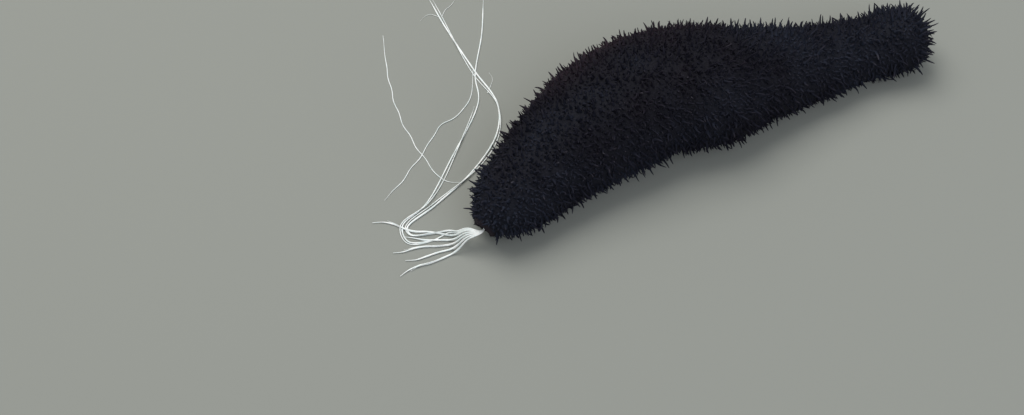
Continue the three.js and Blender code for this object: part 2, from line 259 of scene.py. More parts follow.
def new_mesh(name, points, polygons):
    """A smooth-shaded mesh of the given points and faces."""
    mesh = bpy.data.meshes.new(name)
    mesh.from_pydata([tuple(p) for p in points], [], polygons)
    mesh.validate()
    mesh.shade_smooth()
    return mesh


MAP_MARGIN = 0.01


def set_map(mesh, u, v):
    """Lays the skin out on its map, along the body and round it, with a margin."""
    spots = MAP_MARGIN + (1 - 2 * MAP_MARGIN) * np.stack([u, v], 1)
    mesh.uv_layers.new(name="OFBake").data.foreach_set("uv", spots.ravel())


def set_values(mesh, name, values):
    """Gives each point of a mesh its own value of a name."""
    mesh.attributes.new(name, "FLOAT", "POINT").data.foreach_set("value", values)


# What the skin's points carry for the pieces that grow on it, with the values of the two poles last.
COAT_FROM, COAT_TO = 2.0, 3.4  # heights over which the papillae set in
UPTURN, UPTURN_FROM, UPTURN_TO = 0.9, 3, 14  # how much low papillae turn up, and the heights where that fades
FEET_FROM, FEET_TO = 0.1, 0.7  # heights above the sole over which the tube feet stop
GROWTH, GROWTH_FROM, GROWTH_TO = 0.25, 0.8, 0.97  # how much longer papillae grow, and over what shares
skin_mesh = new_mesh("skin", vertices, faces)
set_map(skin_mesh, face_shares, face_turns)
low = UPTURN * (1 - smooth(UPTURN_FROM, UPTURN_TO, plain[:, 2]))
sole = 1 - smooth(SOLE + FEET_FROM, SOLE + FEET_TO, plain[:, 2])
growth = 1 + GROWTH * smooth(GROWTH_FROM, GROWTH_TO, share_grid)
set_values(skin_mesh, "covered", np.append(smooth(COAT_FROM, COAT_TO, plain[:, 2]) * (1 - bare), [0, 0]))
set_values(skin_mesh, "low", np.append(low, [0, 0]))
set_values(skin_mesh, "sole", np.append(sole, [0, 0]))
set_values(skin_mesh, "growth", np.append(growth, [1, 1]))
set_values(skin_mesh, "share", np.append(share_grid, [0, 1]))
set_values(skin_mesh, "rim", np.append(bare, [1, 1]))
skin = bpy.data.objects.new("skin", skin_mesh)
bpy.context.collection.objects.link(skin)


def linear(code):
    """An sRGB hex colour as linear red, green, blue and alpha."""
    parts = [int(code[i:i + 2], 16) / 255 for i in (1, 3, 5)]
    return (*(p / 12.92 if p <= 0.04045 else ((p + 0.055) / 1.055) ** 2.4 for p in parts), 1)


def add(tree, kind, inputs=(), stops=(), **settings):
    """Adds a node with its settings, sets or links its inputs, and gives a colour band its stops."""
    node = tree.nodes.new(kind)
    for name, value in settings.items():
        setattr(node, name, value)
    for key, value in dict(inputs).items():
        if isinstance(value, bpy.types.Node):
            value = value.outputs[0]
        if isinstance(value, bpy.types.NodeSocket):
            tree.links.new(value, node.inputs[key])
        else:
            node.inputs[key].default_value = value
    for i, (place, code) in enumerate(stops):
        if i >= len(node.color_ramp.elements):
            node.color_ramp.elements.new(place)
        node.color_ramp.elements[i].position = place
        node.color_ramp.elements[i].color = linear(code)
    return node


def new_material(name):
    """An empty material of nodes, and its tree."""
    material = bpy.data.materials.new(name)
    material.use_nodes = True
    material.node_tree.nodes.clear()
    return material, material.node_tree


TONE_DRIFT = 45 * MM  # size of the patches over which the colour drifts
# The flank this way is painted lighter and browner, as painted light from the broad light on that side.
PAINTED_LIGHT_SIDE = Vector((-0.12, 0.99, 0.0))  # the browner flank lies this way
DARKEST = Vector((-20, 25, 45)) * MM  # the middle of the darkest stretch, on the back over the belly


def body_tone_and_painted_light(tree, place):
    """The skin's colour: blackest over the belly and bluer to the ends, with painted light making the left
    flank lighter and browner.
    """
    drift = add(tree, "ShaderNodeTexNoise", {"Vector": place, "Scale": 1 / TONE_DRIFT, "Detail": 3.0})
    aside = add(tree, "ShaderNodeVectorMath", {0: place, 1: PAINTED_LIGHT_SIDE}, operation="DOT_PRODUCT")
    # Painted light: the flank that faces the broad light is painted lighter and browner.
    flank = add(tree, "ShaderNodeMapRange", {"Value": aside.outputs["Value"], "From Min": 20 * MM,
                                             "From Max": 50 * MM, "To Min": 0.25, "To Max": 0.47})
    away = add(tree, "ShaderNodeVectorMath", {0: place, 1: DARKEST}, operation="DISTANCE")
    ends = add(tree, "ShaderNodeMapRange", {"Value": away.outputs["Value"], "From Min": 30 * MM,
                                            "From Max": 110 * MM, "To Min": 0.0, "To Max": 0.16})
    shifted = add(tree, "ShaderNodeMath", {0: flank, 1: ends}, operation="SUBTRACT")
    both = add(tree, "ShaderNodeMath", {0: drift, 1: 0.5, 2: shifted}, operation="MULTIPLY_ADD")
    return add(tree, "ShaderNodeValToRGB", {"Fac": both},
               stops=((0.34, "#242834"), (0.5, "#181720"), (0.72, "#32282f")))


# Wet leather of the body wall: matte, with a faint gloss in patches and a grain of warts about 1 mm across.
# The gaps between the warts are painted darkest, as painted shade in the low ground between them, and the
# puckered rims are a little browner.
WART = 1.1 * MM


def leathery_skin():
    material, tree = new_material("wet_leathery_skin")
    place = add(tree, "ShaderNodeTexCoord").outputs["Object"]
    tone = body_tone_and_painted_light(tree, place)
    warts = add(tree, "ShaderNodeTexVoronoi", {"Vector": place, "Scale": 1 / WART})
    grain = add(tree, "ShaderNodeTexNoise", {"Vector": place, "Scale": 1 / (1.5 * WART), "Detail": 4.0})
    # Painted shade: the colour darkens from each wart's middle into the low gaps between the warts.
    wart_tone_and_painted_gap_shade = add(tree, "ShaderNodeValToRGB", {"Fac": warts}, stops=((0.15, "#1c1b23"), (0.6, "#0f0f14")))
    mixed = add(tree, "ShaderNodeMix", {0: 0.7, 6: tone, 7: wart_tone_and_painted_gap_shade}, data_type="RGBA")
    rim = add(tree, "ShaderNodeAttribute", attribute_name="rim")
    rimmed = add(tree, "ShaderNodeMix", {0: rim.outputs["Fac"], 6: mixed.outputs[2], 7: linear("#282228")},
                 data_type="RGBA")
    height = add(tree, "ShaderNodeMath", {0: warts, 1: -0.7, 2: grain}, operation="MULTIPLY_ADD")
    bump = add(tree, "ShaderNodeBump", {"Strength": 0.6, "Distance": 0.5 * MM, "Height": height})
    shine = add(tree, "ShaderNodeMapRange", {"Value": grain, "To Min": 0.55, "To Max": 0.85})
    shader = add(tree, "ShaderNodeBsdfPrincipled", {
        "Base Color": rimmed.outputs[2], "Roughness": shine, "Normal": bump,
        "Specular IOR Level": 0.14, "IOR": 1.4,
    })
    add(tree, "ShaderNodeOutputMaterial", {"Surface": shader})
    return material


skin_mesh.materials.append(leathery_skin())
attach(skin, "root")
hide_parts("vent", "tail_end", "hind_body", "mid_body", "fore_body", "neck", "head_end", "mouth")


# The papillae
# Soft pointed feelers of the body wall, drawn out of it like cones with a flared foot. Tall ones stand a few
# millimetres apart among many shorter ones, bent and leaning together in clumps, longest round the head.
PATCH = 0.003  # how wide one papilla's or tube foot's patch is on the map of the skin
PATCH_TAPER = 0.85  # how much narrower the patch is at the tip than at the foot


# Wet skin drawn thin: near black at the foot, and painted a little paler towards the tip as a painted
# highlight where the tips catch the light, with a greyish point on about one in a hundred.
def papilla_skin():
    material, tree = new_material("papilla_skin")
    place = add(tree, "ShaderNodeTexCoord").outputs["Object"]
    tone = body_tone_and_painted_light(tree, place)
    height = add(tree, "ShaderNodeAttribute", attribute_name="height")
    own = add(tree, "ShaderNodeAttribute", attribute_name="tone")
    tip = add(tree, "ShaderNodeValToRGB", {"Fac": own.outputs["Fac"]},
              stops=((0.0, "#1f1e28"), (0.7, "#27252f"), (0.98, "#363138"), (0.993, "#4d4a53")))
    # Painted highlight: the colour turns paler towards the tip, as if the tips caught the light.
    reach = add(tree, "ShaderNodeMapRange", {"Value": height.outputs["Fac"], "From Min": 0.3, "From Max": 0.9,
                                             "To Max": 0.65})
    mixed = add(tree, "ShaderNodeMix", {0: reach, 6: tone, 7: tip}, data_type="RGBA")
    grain = add(tree, "ShaderNodeTexNoise", {"Vector": place, "Scale": 1 / (0.5 * MM)})
    bump = add(tree, "ShaderNodeBump", {"Strength": 0.35, "Distance": 0.2 * MM, "Height": grain})
    shader = add(tree, "ShaderNodeBsdfPrincipled", {
        "Base Color": mixed.outputs[2], "Roughness": 0.7, "Normal": bump,
        "Specular IOR Level": 0.12, "IOR": 1.4,
    })
    add(tree, "ShaderNodeOutputMaterial", {"Surface": shader})
    return material


def turned(name, material, sides, rows, bottom, top, bend=0.0, sway=0.0):
    """A closed shape turned about Z: rows of radius and height between two poles, bent along X and Y."""
    points, polygons = [(0, 0, bottom)], []
    for radius, height in rows:
        for turn in 2 * math.pi * np.arange(sides) / sides:
            points.append((radius * math.cos(turn), radius * math.sin(turn), height))
    points.append((0, 0, top))
    last = len(points) - 1
    for side in range(sides):
        beyond = (side + 1) % sides
        polygons.append((0, 1 + beyond, 1 + side))
        for low in range(1, last - sides, sides):
            polygons.append((low + side, low + beyond, low + sides + beyond, low + sides + side))
        polygons.append((last - sides + side, last - sides + beyond, last))
    points = np.array(points)
    height = np.clip(points[:, 2] / top, 0, 1)
    across = np.hypot(points[:, 0], points[:, 1])[:, None]
    outward = np.divide(points, across, out=np.zeros_like(points), where=across > 0)
    points[:, 0] += bend * height ** 2
    points[:, 1] += sway * np.sin(math.pi * height)
    mesh = new_mesh(name, points, polygons)
    mesh.materials.append(material)
    set_values(mesh, "height", height)
    spread = outward * (PATCH / 2 * (1 - PATCH_TAPER * height))[:, None]
    mesh.attributes.new("patch", "FLOAT_VECTOR", "POINT").data.foreach_set("vector", spread.ravel())
    return mesh


# A papilla's radius at each height, and how far its tip and its middle bend, all before it gets its own size.
PAPILLA_ROWS = ((1.0, 0.0), (0.66, 0.1), (0.48, 0.32), (0.37, 0.6), (0.26, 0.83), (0.14, 0.95))
BENDS = ((0.1, 0.0), (0.6, 0.25), (1.2, -0.3), (-0.8, 0.4), (1.8, 0.2), (0.4, -0.5))
papilla_material = papilla_skin()
papilla_shapes = bpy.data.collections.new("papilla_shapes")
for i, (bend, sway) in enumerate(BENDS):
    shape = turned(
        f"papilla_{i}", papilla_material, sides=6, rows=PAPILLA_ROWS, bottom=-0.12, top=1,
        bend=bend, sway=sway,
    )
    papilla_shapes.objects.link(bpy.data.objects.new(shape.name, shape))


def new_tree(name, inputs):
    """A tree with named inputs, and one output of geometry."""
    tree = bpy.data.node_groups.new(name, "GeometryNodeTree")
    sockets = {}
    for label, kind in inputs:
        sockets[label] = tree.interface.new_socket(label, in_out="INPUT", socket_type="NodeSocket" + kind)
    tree.interface.new_socket("Made", in_out="OUTPUT", socket_type="NodeSocketGeometry")
    return tree, sockets, add(tree, "NodeGroupInput").outputs


def finish_on_skin(tree, instances, material):
    """Realizes what stands on the skin, keeps it above the floor and lays its patches on the skin's map."""
    whole = add(tree, "GeometryNodeRealizeInstances", {0: instances})
    place = add(tree, "GeometryNodeInputPosition")
    # Only heights are limited by this, because nothing lies a metre out.
    above = add(tree, "ShaderNodeVectorMath", {0: place, 1: (-1, -1, 0)}, operation="MAXIMUM")
    clear = add(tree, "GeometryNodeSetPosition", {0: whole, "Position": above})
    root = add(tree, "GeometryNodeInputNamedAttribute", {"Name": "root_map"}, data_type="FLOAT_VECTOR")
    patch = add(tree, "GeometryNodeInputNamedAttribute", {"Name": "patch"}, data_type="FLOAT_VECTOR")
    laid = add(tree, "ShaderNodeVectorMath", {0: root, 1: patch}, operation="ADD")
    mapped = add(tree, "GeometryNodeStoreNamedAttribute", {0: clear, "Name": "OFBake", "Value": laid},
                 data_type="FLOAT2", domain="CORNER")
    done = add(tree, "GeometryNodeSetMaterial", {0: mapped, "Material": material})
    add(tree, "NodeGroupOutput", {0: done})


def roots_on_skin(tree, given, cover):
    """As many points as fit on the skin a spacing apart, which carry the skin's map at their place."""
    skin_map = add(tree, "GeometryNodeInputNamedAttribute", {"Name": "OFBake"}, data_type="FLOAT_VECTOR")
    stored = add(tree, "GeometryNodeStoreNamedAttribute", {
        0: given["Skin"], "Name": "root_map", "Value": skin_map,
    }, data_type="FLOAT_VECTOR", domain="CORNER")
    area = add(tree, "ShaderNodeMath", {0: given["Spacing"], 1: given["Spacing"]}, operation="MULTIPLY")
    crowd = add(tree, "ShaderNodeMath", {0: 8.0, 1: area}, operation="DIVIDE")
    return add(tree, "GeometryNodeDistributePointsOnFaces", {
        "Mesh": stored, "Distance Min": given["Spacing"], "Density Max": crowd, "Density Factor": cover,
        "Seed": given["Seed"],
    }, distribute_method="POISSON")


def papilla_tree():
    """Stands papillae on the covered skin between two shares of the way, leaning in clumps."""
    tree, sockets, given = new_tree("papillae", (
        ("Skin", "Geometry"), ("Shapes", "Collection"), ("Material", "Material"), ("Spacing", "Float"),
        ("Shortest", "Float"), ("Longest", "Float"), ("Width", "Float"), ("Clump", "Float"),
        ("Lean", "Float"), ("Scatter", "Float"), ("Sparse", "Float"), ("Seed", "Int"), ("First", "Float"),
        ("Last", "Float"),
    ))
    place = add(tree, "GeometryNodeInputPosition")
    often = add(tree, "ShaderNodeMath", {0: 1.0, 1: given["Clump"]}, operation="DIVIDE")
    clumps = add(tree, "ShaderNodeTexNoise", {"Vector": place, "Scale": often})
    thick = add(tree, "ShaderNodeMapRange", {"Value": clumps, "From Min": 0.4, "From Max": 0.52,
                                             "To Min": given["Sparse"], "To Max": 1.0})
    covered = add(tree, "GeometryNodeInputNamedAttribute", {"Name": "covered"}, data_type="FLOAT")
    cover = add(tree, "ShaderNodeMath", {0: covered, 1: thick}, operation="MULTIPLY")
    roots = roots_on_skin(tree, given, cover)
    share = add(tree, "GeometryNodeInputNamedAttribute", {"Name": "share"}, data_type="FLOAT")
    before = add(tree, "FunctionNodeCompare", {0: share, 1: given["First"]}, operation="LESS_THAN")
    after = add(tree, "FunctionNodeCompare", {0: share, 1: given["Last"]}, operation="GREATER_EQUAL")
    outside = add(tree, "FunctionNodeBooleanMath", {0: before, 1: after}, operation="OR")
    kept = add(tree, "GeometryNodeDeleteGeometry", {0: roots, "Selection": outside})

    centred = add(tree, "ShaderNodeVectorMath", {0: clumps.outputs["Color"], 1: (0.5, 0.5, 0.5)},
                  operation="SUBTRACT")
    lean = add(tree, "ShaderNodeVectorMath", {0: centred, "Scale": given["Lean"]}, operation="SCALE")
    stray = add(tree, "FunctionNodeRandomValue", {0: (-1, -1, -1), 1: (1, 1, 1), "Seed": given["Seed"]},
                data_type="FLOAT_VECTOR")
    scatter = add(tree, "ShaderNodeVectorMath", {0: stray, "Scale": given["Scatter"]}, operation="SCALE")
    bias = add(tree, "ShaderNodeVectorMath", {0: lean, 1: scatter}, operation="ADD")
    low = add(tree, "GeometryNodeInputNamedAttribute", {"Name": "low"}, data_type="FLOAT")
    uplift = add(tree, "ShaderNodeVectorMath", {0: (0, 0, 1), "Scale": low}, operation="SCALE")
    lifted = add(tree, "ShaderNodeVectorMath", {0: bias, 1: uplift}, operation="ADD")
    way_out = add(tree, "ShaderNodeVectorMath", {0: roots.outputs["Normal"], 1: lifted}, operation="ADD")
    upright = add(tree, "FunctionNodeAlignRotationToVector", {"Vector": way_out}, axis="Z")
    draws = []
    for n in range(1, 5):
        seed = add(tree, "ShaderNodeMath", {0: given["Seed"], 1: float(n)}, operation="ADD")
        draws.append(add(tree, "FunctionNodeRandomValue", {2: 0.0, 3: 1.0, "Seed": seed}).outputs[1])
    twist = add(tree, "ShaderNodeMath", {0: draws[0], 1: 2 * math.pi}, operation="MULTIPLY")
    about = add(tree, "FunctionNodeAxisAngleToRotation", {"Axis": (0, 0, 1), "Angle": twist})
    turned_so = add(tree, "FunctionNodeRotateRotation", {"Rotation": upright, "Rotate By": about},
                    rotation_space="LOCAL")

    skewed = add(tree, "ShaderNodeMath", {0: draws[1], 1: 1.4}, operation="POWER")
    length = add(tree, "ShaderNodeMapRange", {"Value": skewed, "To Min": given["Shortest"],
                                              "To Max": given["Longest"]})
    growth = add(tree, "GeometryNodeInputNamedAttribute", {"Name": "growth"}, data_type="FLOAT")
    grown = add(tree, "ShaderNodeMath", {0: length, 1: growth}, operation="MULTIPLY")
    stout = add(tree, "ShaderNodeMapRange", {"Value": draws[2], "To Min": 0.37, "To Max": 0.6})
    radius = add(tree, "ShaderNodeMath", {0: given["Width"], 1: stout}, operation="MULTIPLY")
    size = add(tree, "ShaderNodeCombineXYZ", {"X": radius, "Y": radius, "Z": grown})
    toned = add(tree, "GeometryNodeStoreNamedAttribute", {0: kept, "Name": "tone", "Value": draws[3]},
                domain="POINT")
    library = add(tree, "GeometryNodeCollectionInfo", {
        "Collection": given["Shapes"], "Separate Children": True, "Reset Children": True,
    })
    choice = add(tree, "FunctionNodeRandomValue", {4: 0, 5: len(BENDS) - 1, "Seed": given["Seed"]},
                 data_type="INT")
    stood = add(tree, "GeometryNodeInstanceOnPoints", {
        "Points": toned, "Instance": library, "Pick Instance": True,
        "Instance Index": choice.outputs[2], "Rotation": turned_so, "Scale": size,
    })
    finish_on_skin(tree, stood, given["Material"])
    return tree, sockets


def made_by(tree, sockets, source, name, values):
    """Runs a tree on a copy of the source's mesh and returns the result as a plain mesh object."""
    holder = bpy.data.objects.new(name, source.copy())
    bpy.context.collection.objects.link(holder)
    modifier = holder.modifiers.new(name, "NODES")
    modifier.node_group = tree
    for key, value in values.items():
        modifier[sockets[key].identifier] = value
    graph = bpy.context.evaluated_depsgraph_get()
    mesh = bpy.data.meshes.new_from_object(
        holder.evaluated_get(graph), preserve_all_data_layers=True, depsgraph=graph)
    holder.modifiers.remove(modifier)
    holder.data = mesh
    mesh.name = name
    mesh.shade_smooth()
    return holder


growing, growing_sockets = papilla_tree()
TALL = {
    "Spacing": 4.0 * MM, "Shortest": 3.4 * MM, "Longest": 6.8 * MM, "Width": 2.6 * MM,
    "Clump": 11 * MM, "Lean": 1.6, "Scatter": 0.22, "Sparse": 0.25, "Seed": 11,
}
SHORT = {
    "Spacing": 2.1 * MM, "Shortest": 1.3 * MM, "Longest": 3.6 * MM, "Width": 1.8 * MM,
    "Clump": 9 * MM, "Lean": 1.8, "Scatter": 0.35, "Sparse": 0.8, "Seed": 23,
}
for name, sizes, first, last in (
    ("tall_papillae_hind", TALL, 0.0, 0.5),
    ("tall_papillae_fore", TALL, 0.5, 1.0),
    ("short_papillae_tail", SHORT, 0.0, 0.33),
    ("short_papillae_belly", SHORT, 0.33, 0.55),
    ("short_papillae_head", SHORT, 0.55, 1.0),
):
    coat = made_by(growing, growing_sockets, skin_mesh, name, {
        **sizes, "Shapes": papilla_shapes, "Material": papilla_material, "First": first, "Last": last,
    })
    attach(coat, "root")


# The tube feet
# Short hollow stalks, each flaring to a flat sucker disc on the floor. They stand close together all over
# the flat of the sole, grown out of its skin, with one exactly at the origin.
FOOT_ROWS = ((0.86, 0.0), (0.92, 0.16), (0.6, 0.42), (0.42, 0.9), (0.46, 1.5), (0.62, 2.0))  # radius, height


# Thin wet skin of the tube feet: brownish, softer and paler at the sucker disc than on the stalk.
def foot_skin():
    material, tree = new_material("tube_foot_skin")
    place = add(tree, "ShaderNodeTexCoord").outputs["Object"]
    height = add(tree, "ShaderNodeAttribute", attribute_name="height")
    tone = add(tree, "ShaderNodeValToRGB", {"Fac": height.outputs["Fac"]},
               stops=((0.03, "#57494a"), (0.2, "#2f2629"), (0.8, "#161317")))
    grain = add(tree, "ShaderNodeTexNoise", {"Vector": place, "Scale": 1 / (0.4 * MM)})
    bump = add(tree, "ShaderNodeBump", {"Strength": 0.4, "Distance": 0.15 * MM, "Height": grain})
    shader = add(tree, "ShaderNodeBsdfPrincipled", {
        "Base Color": tone, "Roughness": 0.55, "Normal": bump, "Specular IOR Level": 0.25, "IOR": 1.4,
    })
    add(tree, "ShaderNodeOutputMaterial", {"Surface": shader})
    return material


foot_material = foot_skin()
foot_rows = [(radius * MM, height * MM) for radius, height in FOOT_ROWS]
foot_shapes = bpy.data.collections.new("foot_shapes")
foot_shape = turned("foot", foot_material, sides=8, rows=foot_rows, bottom=0, top=2.2 * MM)
foot_shapes.objects.link(bpy.data.objects.new("foot", foot_shape))


def foot_tree():
    """Stands tube feet between the floor and the sole, and one at the origin."""
    tree, sockets, given = new_tree("tube_feet", (
        ("Skin", "Geometry"), ("Shapes", "Collection"), ("Material", "Material"), ("Spacing", "Float"),
        ("Seed", "Int"),
    ))
    sole = add(tree, "GeometryNodeInputNamedAttribute", {"Name": "sole"}, data_type="FLOAT")
    roots = roots_on_skin(tree, given, sole)
    place = add(tree, "GeometryNodeInputPosition")
    level = add(tree, "ShaderNodeVectorMath", {0: place, 1: (1, 1, 0)}, operation="MULTIPLY")
    down = add(tree, "GeometryNodeSetPosition", {0: roots, "Position": level})
    distance = add(tree, "ShaderNodeVectorMath", {0: place}, operation="LENGTH")
    crowding = add(tree, "FunctionNodeCompare", {0: distance.outputs["Value"], 1: given["Spacing"]},
                   operation="LESS_THAN")
    clear = add(tree, "GeometryNodeDeleteGeometry", {0: down, "Selection": crowding})
    middle = add(tree, "GeometryNodePoints", {"Count": 1})
    nearest = add(tree, "GeometryNodeSampleNearest", {0: roots}, domain="POINT")
    root_map = add(tree, "GeometryNodeInputNamedAttribute", {"Name": "root_map"}, data_type="FLOAT_VECTOR")
    its_map = add(tree, "GeometryNodeSampleIndex", {0: roots, "Value": root_map, "Index": nearest},
                  data_type="FLOAT_VECTOR", domain="POINT")
    marked = add(tree, "GeometryNodeStoreNamedAttribute", {0: middle, "Name": "root_map", "Value": its_map},
                 data_type="FLOAT_VECTOR", domain="POINT")
    every = add(tree, "GeometryNodeJoinGeometry", {0: clear})
    tree.links.new(marked.outputs[0], every.inputs[0])
    twist = add(tree, "FunctionNodeRandomValue", {2: 0.0, 3: 2 * math.pi, "Seed": given["Seed"]})
    about = add(tree, "ShaderNodeCombineXYZ", {"Z": twist.outputs[1]})
    stout = add(tree, "FunctionNodeRandomValue", {2: 0.8, 3: 1.15, "Seed": given["Seed"]})
    size = add(tree, "ShaderNodeCombineXYZ", {"X": stout.outputs[1], "Y": stout.outputs[1], "Z": 1.0})
    library = add(tree, "GeometryNodeCollectionInfo", {
        "Collection": given["Shapes"], "Separate Children": True, "Reset Children": True,
    })
    stood = add(tree, "GeometryNodeInstanceOnPoints", {
        "Points": every, "Instance": library, "Pick Instance": True, "Rotation": about, "Scale": size,
    })
    finish_on_skin(tree, stood, given["Material"])
    return tree, sockets


standing, standing_sockets = foot_tree()
feet = made_by(standing, standing_sockets, skin_mesh, "tube_feet", {
    "Shapes": foot_shapes, "Material": foot_material, "Spacing": 2.6 * MM, "Seed": 5,
})
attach(feet, "root")


# The feeding tentacles
# A ring of short soft tentacles, drawn back behind the lips at rest, so that only their rounded brown-black
# tips show in the mouth. They grow from the gullet's wall and close its opening.
TIP_ROWS = ((0.35, 0.0), (0.5, 0.5), (0.62, 1.1), (0.6, 1.5), (0.36, 1.85))  # radius, height


# Soft wet skin of the tentacles: brownish black, paler on the rounded tips, glossier than the body wall.
def tentacle_skin():
    material, tree = new_material("tentacle_skin")
    place = add(tree, "ShaderNodeTexCoord").outputs["Object"]
    height = add(tree, "ShaderNodeAttribute", attribute_name="height")
    tone = add(tree, "ShaderNodeValToRGB", {"Fac": height.outputs["Fac"]},
               stops=((0.4, "#1d1719"), (0.8, "#40363a"), (1.0, "#564a4c")))
    grain = add(tree, "ShaderNodeTexNoise", {"Vector": place, "Scale": 1 / (0.3 * MM)})
    bump = add(tree, "ShaderNodeBump", {"Strength": 0.6, "Distance": 0.15 * MM, "Height": grain})
    shader = add(tree, "ShaderNodeBsdfPrincipled", {
        "Base Color": tone, "Roughness": 0.45, "Normal": bump, "Specular IOR Level": 0.35, "IOR": 1.4,
    })
    add(tree, "ShaderNodeOutputMaterial", {"Surface": shader})
    return material


def tentacle_tree():
    """A ring of tips that lean together, moved and turned to its place in the mouth."""
    tree, sockets, given = new_tree("tentacle_tips", (
        ("Shape", "Object"), ("Material", "Material"), ("Count", "Int"), ("Ring", "Float"),
        ("Place", "Vector"), ("Facing", "Vector"), ("Seed", "Int"),
    ))
    ring = add(tree, "GeometryNodeMeshCircle", {"Vertices": given["Count"], "Radius": given["Ring"]})
    place = add(tree, "GeometryNodeInputPosition")
    # Each tip leans inwards by 0.35 of its height for every millimetre that it stands from the middle.
    inward = add(tree, "ShaderNodeVectorMath", {0: place, "Scale": -0.35 / MM}, operation="SCALE")
    leaning = add(tree, "ShaderNodeVectorMath", {0: inward, 1: (0, 0, 1)}, operation="ADD")
    upright = add(tree, "FunctionNodeAlignRotationToVector", {"Vector": leaning}, axis="Z")
    size = add(tree, "FunctionNodeRandomValue", {2: 0.8, 3: 1.15, "Seed": given["Seed"]})
    shape = add(tree, "GeometryNodeObjectInfo", {"Object": given["Shape"]})
    stood = add(tree, "GeometryNodeInstanceOnPoints", {
        "Points": ring, "Instance": shape.outputs["Geometry"], "Rotation": upright, "Scale": size.outputs[1],
    })
    whole = add(tree, "GeometryNodeRealizeInstances", {0: stood})
    facing = add(tree, "FunctionNodeAlignRotationToVector", {"Vector": given["Facing"]}, axis="Z")
    moved = add(tree, "GeometryNodeTransform", {0: whole, "Translation": given["Place"], "Rotation": facing})
    done = add(tree, "GeometryNodeSetMaterial", {0: moved, "Material": given["Material"]})
    add(tree, "NodeGroupOutput", {0: done})
    return tree, sockets


tentacle_material = tentacle_skin()
tip_rows = [(radius * MM, height * MM) for radius, height in TIP_ROWS]
tip_mesh = turned("tentacle_tip", tentacle_material, sides=10, rows=tip_rows, bottom=0, top=2 * MM)
tip_shape = bpy.data.objects.new("tentacle_tip", tip_mesh)
mouth_centre, mouth_outward = centre_of("mouth")
closing, closing_sockets = tentacle_tree()
for name, count, ring, depth in (
    ("outer_tentacle_tips", 11, 1.75, 3.4),
    ("inner_tentacle_tips", 5, 0.75, 3.9),
):
    tips = made_by(closing, closing_sockets, bpy.data.meshes.new(name), name, {
        "Shape": tip_shape, "Material": tentacle_material, "Count": count, "Ring": ring * MM,
        "Place": (mouth_centre - mouth_outward * depth) * MM, "Facing": mouth_outward, "Seed": count,
    })
    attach(tips, "root")


# The sticky threads
# White hollow tubules that the animal throws out of its vent: wet, elastic, sticky and uneven. They leave in
# one sheaf and fan out over the floor, and two long trails turn back past the left flank.
THREAD_REST = 1.0  # height of the threads' routes on the floor
FAN_TURN, FAN_WIDTH = -42, 36  # the fan's middle and width in degrees, from the vent's own heading
FAN_REACHES = (62, 48, 55, 47, 53)
THREAD_DROP, THREAD_STEP = 19, 6  # how far out the threads reach the floor, and the step between points there
SHEAF = ((-7, 0.5), (-2, 0.7), (1.5, 1.1))  # distances out of the vent, and the sheaf's width there
FALL = ((0.45, 0.72), (0.78, 0.22))  # shares of the drop's reach, and of the vent's height there
# The fan's strands wander aside in waves that reach their full height this far along the floor.
WAVE_HEIGHT, WAVE_LENGTH, WAVE_FROM, WAVE_SHIFT = 1.4, 30, 26, 2.3
TRAIL_TURN, TRAIL_GAP = 0.75, 0.12  # the trails' heading and the gap between them, in the fan's widths
TRAILS = (
    ((-165, -3), (-175, 1), (-175, 6), (-156, 12), (-128, 23),
     (-106, 39), (-97, 57), (-99, 83), (-101, 118), (-101, 142)),
    ((-166, -7), (-178, -2), (-177, 8), (-160, 15), (-136, 35),
     (-106, 63), (-100, 80), (-84, 105), (-72, 128)),
)
# Lone fine strands on the floor: the first two cross beside the trails, the others are short broken ends.
FINE_STRANDS = (
    ((-136, 129), (-142, 111), (-147, 92), (-150, 73), (-150, 54), (-148, 36), (-145, 24), (-136, 19)),
    ((-99, 85), (-107, 70), (-114, 63), (-124, 59), (-133, 57),
     (-146, 47), (-158, 39), (-171, 31), (-180, 27)),
    ((-99, 66), (-95, 70), (-92, 74), (-92, 79)),
    ((-101, 127), (-105, 131), (-109, 131), (-113, 129)),
    ((-100, 126), (-96, 130), (-91, 132), (-86, 136)),
)


def through_points(points):
    """A centripetal Catmull-Rom curve through the points, in many short steps."""
    points = np.array(points, float)
    rows = np.vstack([2 * points[0] - points[1], points, 2 * points[-1] - points[-2]])
    w = np.linspace(0, 1, num=30, endpoint=False)[:, None]
    curve = []
    for before, start, end, after in zip(rows, rows[1:], rows[2:], rows[3:]):
        a, b, c = (math.sqrt(math.dist(p, q)) for p, q in ((before, start), (start, end), (end, after)))
        leaving = ((start - before) / a - (end - before) / (a + b)) * b + end - start
        arriving = ((after - end) / c - (after - start) / (b + c)) * b + end - start
        curve.append(blend(start, end, leaving, arriving, w))
    return np.vstack([*curve, points[-1:]])


vent_centre, vent_outward = centre_of("vent")
level_out = vent_outward * (1, 1, 0) / np.linalg.norm(vent_outward[:2])


def drop(degrees):
    """For a heading turned by some degrees: a way to place points along it, and those down to the floor."""
    c, s = math.cos(math.radians(degrees)), math.sin(math.radians(degrees))
    heading = np.array([c * level_out[0] - s * level_out[1], s * level_out[0] + c * level_out[1], 0])
    sideways = np.array([-heading[1], heading[0], 0])
    spread = (degrees - FAN_TURN) / FAN_WIDTH

    def at(out, aside, height):
        return (vent_centre + heading * out + sideways * aside) * (1, 1, 0) + (0, 0, height)

    return at, [
        *(vent_centre + vent_outward * out + sideways * aside * spread for out, aside in SHEAF),
        *(at(THREAD_DROP * share, 0, vent_centre[2] * height) for share, height in FALL),
        at(THREAD_DROP, 0, THREAD_REST),
    ]


